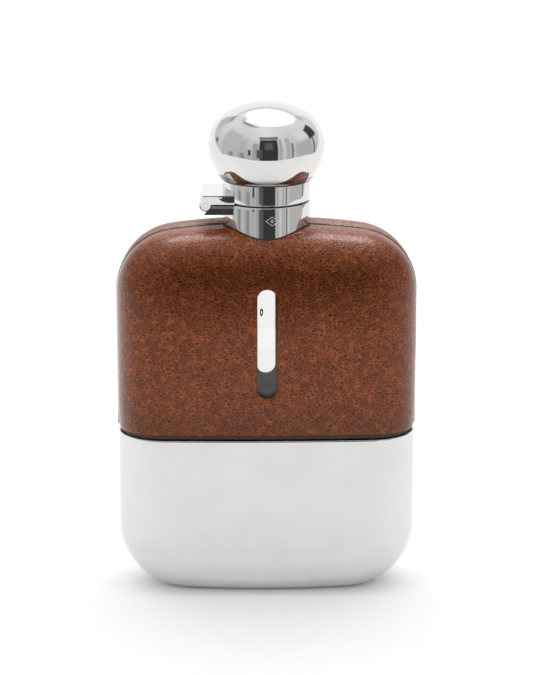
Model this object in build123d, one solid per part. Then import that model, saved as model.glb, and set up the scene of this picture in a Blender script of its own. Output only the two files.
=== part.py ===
from build123d import *
import math
import os

os.makedirs("parts", exist_ok=True)

# Hip flask: a flat glass bottle in a leather cover, with a pull-off cup below and a
# dome cap above. The dome turns in a ring, and the ring hinges on the neck collar.
# Millimetres. The origin is the middle of the foot, +Z is up, -Y is the front and the
# cap hinge is at -X. The cap is shown closed, with the bayonet turned to unlocked.

# Leather cover
LEATHER_HALF_WIDTH = 42.0
LEATHER_HALF_DEPTH = 14.8
LEATHER_TOP = 105.8
LEATHER_CORNER = 18.0
LEATHER_EDGE = 11.0
LEATHER_BOTTOM = 47.4
TOP_CROWN = 4.2
FACE_BULGE = 1.5
SLOT_WIDTH = 5.4
SLOT_HEIGHT = 31.2
SLOT_CENTRE = 74.0

# Side seam, a ridge let into the leather on the middle plane
WELT_WIDTH = 1.8
WELT_PROUD = 0.12
WELT_DEPTH = 0.7

# Cup
CUP_HALF_WIDTH = 41.9
CUP_HALF_DEPTH = 14.6
CUP_RIM = 46.1
CUP_CORNER = 17.5
CUP_EDGE = 12.5
CUP_WALL = 0.8
CUP_CUT = 0.7
BASE_PLATE = 0.8

# Glass bottle
GLASS_HALF_WIDTH = 40.8
GLASS_HALF_DEPTH = 13.5
GLASS_BOTTOM = 1.2
GLASS_TOP = 104.4
GLASS_CORNER = 16.4
GLASS_EDGE = 11.4
GLASS_WALL = 2.6
NECK_RADIUS = 7.8
BORE_RADIUS = 5.75
LIP_TOP = 115.6

# Metal on the neck
BAND_BOTTOM = 46.45
BAND_PROUD = 0.45
COLLAR_RADIUS = 12.35
COLLAR_WALL = 0.85
COLLAR_TOP = 112.0
FLANGE = 1.0
SLEEVE_RADIUS = 8.6
SLEEVE_TOP = 115.3
BAYONET_RADIUS = 9.9
BAYONET_HALF_ANGLE = 50.0

# Hinged ring
RING_RADIUS = 12.2
RING_BORE = 11.08
RING_BOTTOM = 112.25
RING_TOP = 117.95
REBATE_RADIUS = 11.75
REBATE_TOP = 113.2

# Dome cap
DOME_BOTTOM = 118.2
DOME_EQUATOR = 127.6
DOME_TOP = 139.5
DOME_RADIUS = 16.15
DOME_LOWER_ARC = 14.5
DOME_SIDE_ARC = 10.5
DOME_WALL = 0.7
TUBE_RADIUS = 11.0
TUBE_WALL = 0.55
TUBE_BOTTOM = 112.4
LUG_RADIUS = 9.0
LUG_HALF_ANGLE = 18.0
CORK_RADIUS = 10.4
CORK_BOTTOM = 115.85

# Cap hinge
HINGE_X = -16.9
HINGE_Z = 112.0
HINGE_HALF_LENGTH = 8.3
KNUCKLE_RADIUS = 1.65
KNUCKLE_GAP = 0.2
KNUCKLE_CLEAR = 0.15
PIN_RADIUS = 0.75
PIN_CLEAR = 0.05
UPPER_LEAF_TOP = 114.7
LOWER_LEAF_TOP = 111.85
LOWER_LEAF_BOTTOM = 109.35


def outline(half_width, bottom, top, low_corner, high_corner):
    """Front outline: rounded rectangle with a slightly crowned top."""
    shoulder = top - TOP_CROWN
    sides = Polyline(
        (-half_width, shoulder), (-half_width, bottom), (half_width, bottom), (half_width, shoulder)
    )
    cap = ThreePointArc((half_width, shoulder), (0, top), (-half_width, shoulder))
    face = make_face(sides.edges() + cap.edges())
    face = fillet(face.vertices().sort_by(Axis.Y)[:2], low_corner)
    return fillet(face.vertices().sort_by(Axis.Y)[-2:], high_corner)


def pillow(half_width, half_depth, bottom, top, low_corner, high_corner, edge):
    """Flat cushion shape: the outline with softly bulged faces and round edges."""
    front = outline(half_width, bottom, top, low_corner, high_corner)
    body = extrude(Plane.XZ * front, amount=half_depth, both=True)
    reach = half_width + 1
    low = half_depth - FACE_BULGE
    plan = make_face(
        [
            *ThreePointArc((-reach, -low), (0, -half_depth), (reach, -low)).edges(),
            *Line((reach, -low), (reach, low)).edges(),
            *ThreePointArc((reach, low), (0, half_depth), (-reach, low)).edges(),
            *Line((-reach, low), (-reach, -low)).edges(),
        ]
    )
    body = body & extrude(Pos(0, 0, bottom - 1) * plan, amount=top - bottom + 2)
    rims = [rim for rim in body.edges() if abs(rim.center().Y) > 0.4 * half_depth]
    return fillet(rims, edge)


def slab(low, high):
    """Everything between two heights."""
    return Pos(0, 0, (low + high) / 2) * Box(200, 200, high - low)


def disc(radius, low, high):
    return Pos(0, 0, (low + high) / 2) * Cylinder(radius, high - low)


def tube(outer, inner, low, high):
    return disc(outer, low, high) - disc(inner, low - 1, high + 1)


def sector(inner, outer, low, high, middle, half_angle):
    """Piece of a tube, half_angle either side of the middle angle, in degrees."""
    first = math.radians(middle - half_angle)
    last = math.radians(middle + half_angle)
    centre = math.radians(middle)

    def at(radius, angle):
        return (radius * math.cos(angle), radius * math.sin(angle))

    face = make_face(
        [
            *ThreePointArc(at(inner, first), at(inner, centre), at(inner, last)).edges(),
            *Line(at(inner, last), at(outer, last)).edges(),
            *ThreePointArc(at(outer, last), at(outer, centre), at(outer, first)).edges(),
            *Line(at(outer, first), at(inner, first)).edges(),
        ]
    )
    return extrude(Pos(0, 0, low) * face, amount=high - low)


def leather_form():
    """Outer shape of the leather, carried down past its lower edge."""
    return pillow(
        LEATHER_HALF_WIDTH,
        LEATHER_HALF_DEPTH,
        0,
        LEATHER_TOP,
        CUP_CORNER,
        LEATHER_CORNER,
        LEATHER_EDGE,
    )


def glass_form(proud=0.0):
    """Outer shape of the glass below the neck."""
    return pillow(
        GLASS_HALF_WIDTH + proud,
        GLASS_HALF_DEPTH + proud,
        0.4 - proud,
        GLASS_TOP + proud,
        GLASS_CORNER + proud,
        GLASS_CORNER + proud,
        GLASS_EDGE + proud,
    )


def glass_bottle():
    body = glass_form() & slab(GLASS_BOTTOM, 200)
    body += disc(NECK_RADIUS, 100, LIP_TOP)
    cavity = pillow(
        GLASS_HALF_WIDTH - GLASS_WALL,
        GLASS_HALF_DEPTH - GLASS_WALL,
        GLASS_BOTTOM + GLASS_WALL,
        GLASS_TOP - GLASS_WALL,
        GLASS_CORNER - GLASS_WALL,
        GLASS_CORNER - GLASS_WALL,
        GLASS_EDGE - GLASS_WALL,
    )
    body = body - cavity - disc(BORE_RADIUS, 90, LIP_TOP + 1)
    lip = body.edges().filter_by(GeomType.CIRCLE).group_by(Axis.Z)[-1]
    return fillet(lip, 0.5)


def welt_form():
    """Ridge all the way round the middle plane, before it is cut at collar and cup."""
    outer = outline(
        LEATHER_HALF_WIDTH + WELT_PROUD,
        0,
        LEATHER_TOP + WELT_PROUD,
        CUP_CORNER,
        LEATHER_CORNER + WELT_PROUD,
    )
    inner = outline(
        LEATHER_HALF_WIDTH - WELT_DEPTH,
        0,
        LEATHER_TOP - WELT_DEPTH,
        CUP_CORNER,
        LEATHER_CORNER - WELT_DEPTH,
    )
    ridge = extrude(Plane.XZ * outer, amount=WELT_WIDTH / 2, both=True)
    ridge -= extrude(Plane.XZ * inner, amount=WELT_WIDTH, both=True)
    return (ridge & slab(LEATHER_BOTTOM, 200)) - disc(COLLAR_RADIUS, 90, 200)


def leather_cover(form, glass, welt):
    """Both leather halves in one, with the slots and the hole for the neck."""
    slot = Plane.XZ * (Pos(0, SLOT_CENTRE) * Rot(0, 0, 90) * SlotOverall(SLOT_HEIGHT, SLOT_WIDTH))
    cover = (form - glass) & slab(LEATHER_BOTTOM, 200)
    cover -= disc(SLEEVE_RADIUS, 90, 200)
    cover -= extrude(slot, amount=40, both=True)
    return cover - welt


def half(shape, side):
    """The front half (side -1) or the back half (side 1) of a shape."""
    return shape & (Pos(0, side * 100, 60) * Box(200, 200, 400))


def stop_band(glass):
    """Thin band at the lower edge of the leather; the cup rim comes up to it."""
    return (glass_form(BAND_PROUD) - glass) & slab(BAND_BOTTOM, LEATHER_BOTTOM)


def neck_collar(form):
    """Collar whose lower edge follows the leather, with a flat flange inside its top."""
    inner = COLLAR_RADIUS - COLLAR_WALL
    body = tube(COLLAR_RADIUS, inner, 95, COLLAR_TOP) - form
    body += tube(COLLAR_RADIUS, SLEEVE_RADIUS, COLLAR_TOP - FLANGE, COLLAR_TOP)
    rim = body.edges().filter_by(GeomType.CIRCLE).group_by(Axis.Z)[-1].sort_by(SortBy.RADIUS)[-1]
    return fillet(rim, 0.15)


def neck_cement(form):
    inner = COLLAR_RADIUS - COLLAR_WALL
    return tube(inner, SLEEVE_RADIUS, 95, COLLAR_TOP - FLANGE) - form


def neck_sleeve(glass):
    """Sleeve on the glass neck with two bayonet flanges and an end stop under each."""
    body = tube(SLEEVE_RADIUS, NECK_RADIUS, 95, SLEEVE_TOP) - glass
    for middle in (0, 180):
        body += sector(
            SLEEVE_RADIUS - 0.3, BAYONET_RADIUS, SLEEVE_TOP - 1.1, SLEEVE_TOP, middle, BAYONET_HALF_ANGLE
        )
        body += sector(
            SLEEVE_RADIUS - 0.3, BAYONET_RADIUS, COLLAR_TOP + 0.9, SLEEVE_TOP - 1, middle - 24, 3.5
        )
    return body


def knuckle_spans(upper):
    """Lengths along Y of the hinge knuckles: three on the ring leaf, two on the collar leaf."""
    pitch = 2 * HINGE_HALF_LENGTH / 5
    spans = []
    for index in range(5):
        if (index % 2 == 0) == upper:
            low = -HINGE_HALF_LENGTH + index * pitch
            spans.append((low + KNUCKLE_GAP / 2 * (index > 0), low + pitch - KNUCKLE_GAP / 2 * (index < 4)))
    return spans


def hinge_rod(radius, low, high):
    """Rod on the hinge axis between two values of Y."""
    return Pos(HINGE_X, (low + high) / 2, HINGE_Z) * Rot(90, 0, 0) * Cylinder(radius, high - low)


def hinge_leaf(profile, cut, upper, bore):
    """Leaf of the given XZ profile with its own knuckles, cleared round the other leaf's."""
    body = extrude(Plane.XZ * make_face(profile), amount=HINGE_HALF_LENGTH, both=True) - cut
    clear = KNUCKLE_RADIUS + KNUCKLE_CLEAR
    for low, high in knuckle_spans(not upper):
        body -= hinge_rod(clear, max(low, -HINGE_HALF_LENGTH) - KNUCKLE_GAP, high + KNUCKLE_GAP)
    for low, high in knuckle_spans(upper):
        body += hinge_rod(KNUCKLE_RADIUS, low, high)
    return body - hinge_rod(bore, -20, 20)


def collar_hinge_leaf():
    """Lower leaf on the collar, its outer end sloping out under the knuckles."""
    root = -COLLAR_RADIUS / 2
    profile = Polyline(
        (root, LOWER_LEAF_TOP),
        (HINGE_X + 1.1, LOWER_LEAF_TOP),
        (HINGE_X - 0.3, LOWER_LEAF_BOTTOM),
        (root, LOWER_LEAF_BOTTOM),
        (root, LOWER_LEAF_TOP),
    ).edges()
    return hinge_leaf(profile, disc(COLLAR_RADIUS, 90, 130), False, PIN_RADIUS)


def ring_hinge_leaf():
    """Upper leaf on the ring, its outer end sloping down to the knuckles."""
    root = -RING_RADIUS / 2
    profile = Polyline(
        (root, RING_BOTTOM),
        (HINGE_X - 1.5, RING_BOTTOM),
        (HINGE_X - 0.7, UPPER_LEAF_TOP),
        (root, UPPER_LEAF_TOP),
        (root, RING_BOTTOM),
    ).edges()
    return hinge_leaf(profile, disc(RING_RADIUS, 90, 130), True, PIN_RADIUS + PIN_CLEAR)


def hinge_ring():
    """Ring between collar and dome, bevelled below and rebated for the retainer."""
    body = tube(RING_RADIUS, RING_BORE, RING_BOTTOM, RING_TOP)
    body -= disc(REBATE_RADIUS, RING_BOTTOM - 1, REBATE_TOP)
    circles = body.edges().filter_by(GeomType.CIRCLE)
    bottom = circles.group_by(Axis.Z)[0].sort_by(SortBy.RADIUS)[-1]
    body = chamfer(bottom, 0.4)
    top = body.edges().filter_by(GeomType.CIRCLE).group_by(Axis.Z)[-1].sort_by(SortBy.RADIUS)[-1]
    return fillet(top, 0.2)


def dome_form(inset):
    """Solid of revolution of the dome, drawn in by inset: lower, side and top arcs."""
    low_x = DOME_RADIUS - DOME_LOWER_ARC
    side_x = DOME_RADIUS - DOME_SIDE_ARC
    rise = DOME_TOP - DOME_EQUATOR
    crown = (side_x**2 + rise**2 - DOME_SIDE_ARC**2) / (2 * (rise - DOME_SIDE_ARC))
    crown_z = DOME_TOP - crown
    join = math.atan2(DOME_EQUATOR - crown_z, side_x)

    def arc(centre_x, centre_z, radius, first, last):
        points = []
        for angle in (first, (first + last) / 2, last):
            points.append((centre_x + radius * math.cos(angle), centre_z + radius * math.sin(angle)))
        return ThreePointArc(*points)

    low_radius = DOME_LOWER_ARC - inset
    start = -math.asin((DOME_EQUATOR - DOME_BOTTOM) / low_radius)
    lower = arc(low_x, DOME_EQUATOR, low_radius, start, 0)
    side = arc(side_x, DOME_EQUATOR, DOME_SIDE_ARC - inset, 0, join)
    top = arc(0, crown_z, crown - inset, join, math.pi / 2)
    base = Line((0, DOME_BOTTOM), lower @ 0)
    axis = Line(top @ 1, (0, DOME_BOTTOM))
    face = make_face([*base.edges(), *lower.edges(), *side.edges(), *top.edges(), *axis.edges()])
    return revolve(Plane.XZ * face, Axis.Z)


def dome_shell():
    body = dome_form(0) - dome_form(DOME_WALL)
    rim = body.edges().filter_by(GeomType.CIRCLE).group_by(Axis.Z)[0].sort_by(SortBy.RADIUS)[-1]
    return fillet(rim, 0.3)


def dome_floor():
    return dome_form(DOME_WALL) & slab(DOME_BOTTOM, DOME_BOTTOM + 0.7)


def bayonet_tube():
    return tube(TUBE_RADIUS, TUBE_RADIUS - TUBE_WALL, TUBE_BOTTOM, DOME_BOTTOM)


def bayonet_lugs():
    """Two lugs inside the tube, clear of the sleeve's flanges until the dome is turned."""
    lugs = []
    for middle in (90, 270):
        lugs += sector(
            LUG_RADIUS, TUBE_RADIUS - TUBE_WALL, COLLAR_TOP + 0.9, SLEEVE_TOP - 1.3, middle, LUG_HALF_ANGLE
        ).solids()
    return Compound(children=lugs)


def dome_retainer():
    """Flange at the foot of the tube that keeps the dome in the ring."""
    return tube(11.6, TUBE_RADIUS, TUBE_BOTTOM, TUBE_BOTTOM + 0.6)


def cork_disc():
    return disc(CORK_RADIUS, CORK_BOTTOM, DOME_BOTTOM)


def cup_form(inset):
    return pillow(
        CUP_HALF_WIDTH - inset,
        CUP_HALF_DEPTH - inset,
        -CUP_CUT + inset,
        LEATHER_TOP,
        CUP_CORNER - inset,
        LEATHER_CORNER,
        CUP_EDGE - inset,
    )


def cup_body():
    return (cup_form(0) - cup_form(CUP_WALL)) & slab(BASE_PLATE, CUP_RIM)


def cup_base_plate():
    """Flat plate that closes the cup and is its foot."""
    return cup_form(0) & slab(0, BASE_PLATE)


leather = leather_form()
glass = glass_form()
welt = welt_form()
cover = leather_cover(leather, glass, welt)

parts = {
    "glass_bottle": glass_bottle(),
    "leather_front": half(cover, -1),
    "leather_back": half(cover, 1),
    "seam_welt": welt,
    "stop_band": stop_band(glass),
    "neck_collar": neck_collar(leather),
    "neck_cement": neck_cement(leather),
    "neck_sleeve": neck_sleeve(glass),
    "collar_hinge_leaf": collar_hinge_leaf(),
    "hinge_pin": hinge_rod(PIN_RADIUS, -HINGE_HALF_LENGTH, HINGE_HALF_LENGTH),
    "hinge_ring": hinge_ring(),
    "ring_hinge_leaf": ring_hinge_leaf(),
    "dome_shell": dome_shell(),
    "dome_floor": dome_floor(),
    "bayonet_tube": bayonet_tube(),
    "bayonet_lugs": bayonet_lugs(),
    "dome_retainer": dome_retainer(),
    "cork_disc": cork_disc(),
    "cup_body": cup_body(),
    "cup_base_plate": cup_base_plate(),
}

for name, shape in parts.items():
    export_step(shape, f"parts/{name}.step")
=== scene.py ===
"""Looks of the hip flask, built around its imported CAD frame. Lengths in the code are millimetres."""

import math

import bmesh
import bpy
import numpy as np
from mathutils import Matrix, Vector


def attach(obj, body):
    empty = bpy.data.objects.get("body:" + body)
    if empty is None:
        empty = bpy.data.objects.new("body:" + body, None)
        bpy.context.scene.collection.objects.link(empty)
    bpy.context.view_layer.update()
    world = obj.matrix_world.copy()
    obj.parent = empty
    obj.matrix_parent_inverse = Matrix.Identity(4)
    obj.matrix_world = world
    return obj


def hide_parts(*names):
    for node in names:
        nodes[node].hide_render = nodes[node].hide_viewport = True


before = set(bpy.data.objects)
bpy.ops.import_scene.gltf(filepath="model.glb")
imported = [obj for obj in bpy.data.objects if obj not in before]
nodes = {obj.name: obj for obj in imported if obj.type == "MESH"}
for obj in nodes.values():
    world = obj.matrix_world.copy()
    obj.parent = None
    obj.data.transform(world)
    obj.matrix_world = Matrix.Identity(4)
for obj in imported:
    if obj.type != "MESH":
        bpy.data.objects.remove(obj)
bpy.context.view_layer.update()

MM = 0.001

# Shapes that follow the CAD solids
LEATHER_WIDTH = 42.0
LEATHER_DEPTH = 14.8
LEATHER_TOP = 105.8
LEATHER_CORNER = 18.0
LEATHER_SIDE_ROLL = 12.0
LEATHER_TOP_ROLL = 9.0
LEATHER_BOTTOM = 47.4
LEATHER_THICK = 1.1
TOP_CROWN = 4.2
CROWN_RADIUS = (LEATHER_WIDTH**2 + TOP_CROWN**2) / (2 * TOP_CROWN)
FACE_BULGE = 1.5
SLOT_RADIUS = 2.7
SLOT_HALF = 12.9
SLOT_Z = 74.0
COLLAR_RADIUS = 12.35
COLLAR_TOP = 112.0
COLLAR_WORN = 12.25
COLLAR_BORE = 11.5
COLLAR_MOUTH = 8.62
RING_RADIUS = 12.2
RING_LOW = 112.25
RING_TOP = 117.95
RING_BORE = 11.08
RING_REBATE = 11.75
RING_STEP = 113.2
HINGE_X = -16.9
HINGE_Z = 112.0
HINGE_END_Y = -8.1
DOME_RADIUS = 16.15
DOME_LOW = 118.2
DOME_WALL_LOW = 118.5
DOME_WIDEST = 127.6
DOME_TOP = 139.5
DOME_LOW_ROLL = 14.5
DOME_HIGH_ROLL = 10.5
DOME_WALL = 0.7
CUP_RIM = 46.1
CUP_WALL = 0.8
CUP_INNER_CORNER = 17.5
FOOT_THICK = 0.8
BAND_LOW = 46.45

# Colours and brightness
CREASE_COLOUR = (0.375, 0.0900, 0.0190)
LEAF_SHADE = (0.11, 0.09, 0.08)
CEILING_GLOW = 1.5
LAMP_GLOW = 12.0
PAPER_GLOW = 1.15

# Points per loop of the round pieces
CUP_LOOP = 480
COLLAR_LOOP = 360
RING_LOOP = 300
DOME_LOOP = 360

# Studio and camera, in metres and degrees
FLOOR_SIDE = 3
FLOOR_FRONT = -0.49
FLOOR_BACK = 4
ROOM_EYE = 0.127
ROOM_REACH = 1.6
CAMERA_LENS = 137.5
CAMERA_REACH = 0.7
CAMERA_HEIGHT = 0.2642
CAMERA_TURN = 0.85
CAMERA_DOWN = 15.34


# ---------------------------------------------------------------- mesh helpers


def make_piece(name, verts, faces, material, body, replaced=(), sharp=35.0):
    """One mesh object, smooth shaded with crisp edges, riding on a CAD body."""
    mesh = bpy.data.meshes.new(name)
    mesh.from_pydata([tuple(v) for v in np.asarray(verts, float) * MM], [], faces)
    bm = bmesh.new()
    bm.from_mesh(mesh)
    bmesh.ops.remove_doubles(bm, verts=bm.verts, dist=2e-6)
    bmesh.ops.dissolve_degenerate(bm, edges=bm.edges, dist=1e-7)
    bmesh.ops.recalc_face_normals(bm, faces=bm.faces)
    bm.to_mesh(mesh)
    bm.free()
    mesh.polygons.foreach_set("use_smooth", [True] * len(mesh.polygons))
    mesh.set_sharp_from_angle(angle=math.radians(sharp))
    mesh.materials.append(material)
    piece = bpy.data.objects.new(name, mesh)
    bpy.context.scene.collection.objects.link(piece)
    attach(piece, body)
    if replaced:
        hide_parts(*replaced)
    return piece


def paint_shade(piece, chosen):
    """Paints shade, as near black, on the faces whose centre is chosen: contact lines and gaps."""
    piece.data.materials.append(shade_paint)
    for face in piece.data.polygons:
        centre = face.center / MM
        if chosen(centre.x, centre.y, centre.z):
            face.material_index = 1


def grid_faces(rows, columns, closed, start=0):
    """Quads of a grid of points stored row after row; closed joins the last column to the first."""
    faces = []
    for row in range(rows - 1):
        for column in range(columns if closed else columns - 1):
            after = (column + 1) % columns
            low = start + row * columns
            faces.append((low + column, low + after, low + columns + after, low + columns + column))
    return faces


def lathe(profile, segments):
    """Closed ring solid from a closed profile of (radius, z); points on the axis are allowed."""
    turn = np.linspace(0, 2 * math.pi, segments, endpoint=False)
    verts = []
    for radius, z in profile:
        ring = np.column_stack([radius * np.cos(turn), radius * np.sin(turn), np.full(segments, z)])
        verts.extend(ring)
    return verts, grid_faces(len(profile), segments, True)


def round_corner(before, corner, after, radius, steps=4):
    """Points of a small arc that rounds one corner of a profile."""
    corner = np.array(corner, float)
    to_before = np.array(before, float) - corner
    to_after = np.array(after, float) - corner
    to_before /= np.linalg.norm(to_before)
    to_after /= np.linalg.norm(to_after)
    half = math.acos(max(-1, min(1, float(to_before @ to_after)))) / 2
    middle = (to_before + to_after) / np.linalg.norm(to_before + to_after)
    centre = corner + middle * radius / math.sin(half)
    start = corner + to_before * radius / math.tan(half) - centre
    end = corner + to_after * radius / math.tan(half) - centre
    points = []
    for step in range(steps + 1):
        share = step / steps
        ray = start * (1 - share) + end * share
        points.append(tuple(centre + ray / np.linalg.norm(ray) * radius))
    return points


def rounded_profile(points, radii):
    """Closed profile with each corner rounded by its own radius, 0 for none."""
    out = []
    count = len(points)
    for index, (point, radius) in enumerate(zip(points, radii)):
        if radius > 0:
            out += round_corner(points[index - 1], point, points[(index + 1) % count], radius)
        else:
            out.append(point)
    return out + [out[0]]


def arc_points(centre, radius, first, last, steps):
    """Points on an arc between two angles in degrees."""
    angles = np.radians(np.linspace(first, last, steps + 1))
    return [(centre[0] + radius * math.cos(a), centre[1] + radius * math.sin(a)) for a in angles]


def smooth(value, low, high):
    """0 below low, 1 above high, with a soft step between."""
    share = np.clip((value - low) / (high - low), 0, 1)
    return share * share * (3 - 2 * share)


# ---------------------------------------------------------------- materials


def new_material(name):
    material = bpy.data.materials.new(name)
    material.use_nodes = True
    tree = material.node_tree
    return material, tree, tree.nodes["Principled BSDF"]


def link_node(tree, kind, inputs=None, **settings):
    """Adds a node, sets its properties, and sets or links its inputs."""
    node = tree.nodes.new(kind)
    for key, value in settings.items():
        setattr(node, key, value)
    for key, value in (inputs or {}).items():
        if isinstance(value, bpy.types.NodeSocket):
            tree.links.new(value, node.inputs[key])
        else:
            node.inputs[key].default_value = value
    return node


def vector_maths(tree, operation, a, b):
    return link_node(tree, "ShaderNodeVectorMath", {0: a, 1: b}, operation=operation).outputs[0]


def millimetres(tree):
    """Object coordinates in millimetres."""
    place = tree.nodes.new("ShaderNodeTexCoord").outputs["Object"]
    return vector_maths(tree, "MULTIPLY", place, (1000, 1000, 1000))


def axes(tree, place):
    """The X, Y and Z of a vector."""
    return link_node(tree, "ShaderNodeSeparateXYZ", {0: place}).outputs


def scaled_colour(tree, colour, share):
    inputs = {0: colour, "Scale": share}
    return link_node(tree, "ShaderNodeVectorMath", inputs, operation="SCALE").outputs[0]


def add_bump(tree, shader, strength, distance, height):
    """Bump of the given height, with its distance in metres."""
    inputs = {"Strength": strength, "Distance": distance, "Height": height}
    bump = link_node(tree, "ShaderNodeBump", inputs)
    tree.links.new(bump.outputs[0], shader.inputs["Normal"])


def maths(tree, operation, a, b=0.5, clamp=False):
    return link_node(tree, "ShaderNodeMath", {0: a, 1: b}, operation=operation, use_clamp=clamp).outputs[0]


def remap(tree, value, low, high, to_low=0.0, to_high=1.0):
    keys = {"Value": value, "From Min": low, "From Max": high, "To Min": to_low, "To Max": to_high}
    return link_node(tree, "ShaderNodeMapRange", keys).outputs[0]


def noise(tree, vector, scale, detail=3.0, roughness=0.5):
    keys = {"Vector": vector, "Scale": scale, "Detail": detail, "Roughness": roughness}
    return link_node(tree, "ShaderNodeTexNoise", keys).outputs["Fac"]


def blend_colours(tree, share, first, second):
    node = link_node(tree, "ShaderNodeMix", data_type="RGBA")
    for index, value in ((0, share), (6, first), (7, second)):
        if isinstance(value, bpy.types.NodeSocket):
            tree.links.new(value, node.inputs[index])
        else:
            node.inputs[index].default_value = value
    return node.outputs[2]


def leather_material(name, gain=1.0):
    """Glossy brown hide: pale creases round small dark cells, painted shade deeper under the shoulders,
    duller on top.
    """
    material, tree, shader = new_material(name)
    place = millimetres(tree)
    inputs = {"Vector": place, "Rotation": (0, 0.18, 0), "Scale": (0.78, 1, 1.22)}
    leaning = link_node(tree, "ShaderNodeMapping", inputs).outputs[0]
    inputs = {"Vector": place, "Scale": 0.5, "Detail": 2.0}
    drift = link_node(tree, "ShaderNodeTexNoise", inputs).outputs["Color"]
    drift = vector_maths(tree, "MULTIPLY", drift, (1.2, 1.2, 1.2))
    warped = vector_maths(tree, "ADD", leaning, drift)

    def cells(scale, width):
        """The net of creases between the cells of the grain, and the middles of the cells."""
        keys = {"Vector": warped, "Scale": scale, "Randomness": 1.0}
        edge = link_node(tree, "ShaderNodeTexVoronoi", keys, feature="DISTANCE_TO_EDGE").outputs["Distance"]
        return remap(tree, edge, 0.0, width, 1.0, 0.0), remap(tree, edge, width, width + 0.22)

    large, large_core = cells(1.10, 0.22)
    small, small_core = cells(1.70, 0.24)
    broken = remap(tree, noise(tree, place, 0.5, 3.0), 0.38, 0.62)
    broken = maths(tree, "ADD", maths(tree, "MULTIPLY", broken, 0.50), 0.50)
    large = maths(tree, "MULTIPLY", large, broken)
    crease = maths(tree, "MAXIMUM", large, maths(tree, "MULTIPLY", small, 0.34))
    speck = remap(tree, noise(tree, warped, 2.0, 3.0, 0.6), 0.46, 0.60)
    broad = remap(tree, noise(tree, place, 0.07, 4.0, 0.6), 0.32, 0.68)
    tone = remap(tree, noise(tree, place, 0.45, 4.0, 0.65), 0.35, 0.65)
    broad = maths(tree, "MULTIPLY", broad, 0.35)
    broad = maths(tree, "ADD", broad, maths(tree, "MULTIPLY", tone, 0.65))

    def colour(red, green, blue):
        return (red * gain, green * gain, blue * gain, 1)

    base = blend_colours(tree, broad, colour(0.036, 0.0066, 0.0028), colour(0.068, 0.0135, 0.0040))
    large_core = maths(tree, "MULTIPLY", large_core, 0.80)
    core = maths(tree, "MAXIMUM", large_core, maths(tree, "MULTIPLY", small_core, 0.50))
    base = blend_colours(tree, core, base, colour(0.022, 0.0052, 0.0030))
    base = blend_colours(tree, maths(tree, "MULTIPLY", speck, 0.45), base, colour(0.012, 0.0040, 0.0030))
    base = blend_colours(tree, maths(tree, "MULTIPLY", crease, 0.85), base, colour(*CREASE_COLOUR))

    # Painted shade: deeper colour and less gloss in a band under the shoulders. The hide is also darker
    # towards its lower edge and a little paler on top
    parts = axes(tree, place)
    wander = maths(tree, "MULTIPLY", maths(tree, "SUBTRACT", noise(tree, place, 0.06, 3.0), 0.5), 10.0)
    level = maths(tree, "ADD", parts["Z"], wander)
    rising = remap(tree, level, 76.0, 92.0)
    falling = remap(tree, level, 95.0, 101.0, 1.0, 0.0)
    shoulder_shade = maths(tree, "MULTIPLY", rising, falling)
    inner = remap(tree, maths(tree, "ABSOLUTE", parts["X"]), 24.0, 37.0, 1.0, 0.35)
    shoulder_shade = maths(tree, "MULTIPLY", shoulder_shade, inner)
    low = remap(tree, parts["Z"], 58.0, 50.0)
    top = remap(tree, parts["Z"], 97.0, 104.0)
    shade = maths(tree, "SUBTRACT", 1.0, maths(tree, "MULTIPLY", shoulder_shade, 0.48))
    shade = maths(tree, "SUBTRACT", shade, maths(tree, "MULTIPLY", low, 0.22))
    shade = maths(tree, "ADD", shade, maths(tree, "MULTIPLY", top, 0.12))
    tree.links.new(scaled_colour(tree, base, shade), shader.inputs["Base Color"])

    # The worn top beside the seam is duller than the faces. Extra coat on the side edges, more on the left,
    # is a painted highlight of their lit edges
    middle = remap(tree, maths(tree, "ABSOLUTE", parts["Y"]), 3.0, 9.0, 1.0, 0.0)
    worn = maths(tree, "MULTIPLY", top, middle)
    edge_gloss_left = maths(tree, "MULTIPLY", remap(tree, parts["X"], -36.0, -42.0), 0.75)
    edge_gloss_right = maths(tree, "MULTIPLY", remap(tree, parts["X"], 37.0, 42.0), 0.35)
    edge_gloss = maths(tree, "ADD", edge_gloss_left, edge_gloss_right)
    edge_gloss = maths(tree, "MULTIPLY", edge_gloss, maths(tree, "SUBTRACT", 1.0, worn))
    calm = maths(tree, "SUBTRACT", 1.0, maths(tree, "MULTIPLY", shoulder_shade, 0.75))
    gloss = remap(tree, noise(tree, place, 0.9, 4.0, 0.6), 0.3, 0.7, 0.26, 0.42)
    gloss = maths(tree, "ADD", gloss, maths(tree, "MULTIPLY", worn, 0.18))
    tree.links.new(gloss, shader.inputs["Roughness"])
    sheen = remap(tree, worn, 0.0, 1.0, 0.22, 0.95)
    tree.links.new(maths(tree, "MULTIPLY", sheen, calm), shader.inputs["Specular IOR Level"])
    coat = maths(tree, "MULTIPLY", remap(tree, worn, 0.0, 1.0, 0.20, 0.0), calm)
    tree.links.new(maths(tree, "ADD", coat, edge_gloss), shader.inputs["Coat Weight"])
    shader.inputs["Coat Roughness"].default_value = 0.17
    swell = maths(tree, "MULTIPLY", noise(tree, place, 1.8, 4.0), 0.6)
    add_bump(tree, shader, 0.8, 0.00007, maths(tree, "SUBTRACT", swell, crease))
    return material


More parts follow.
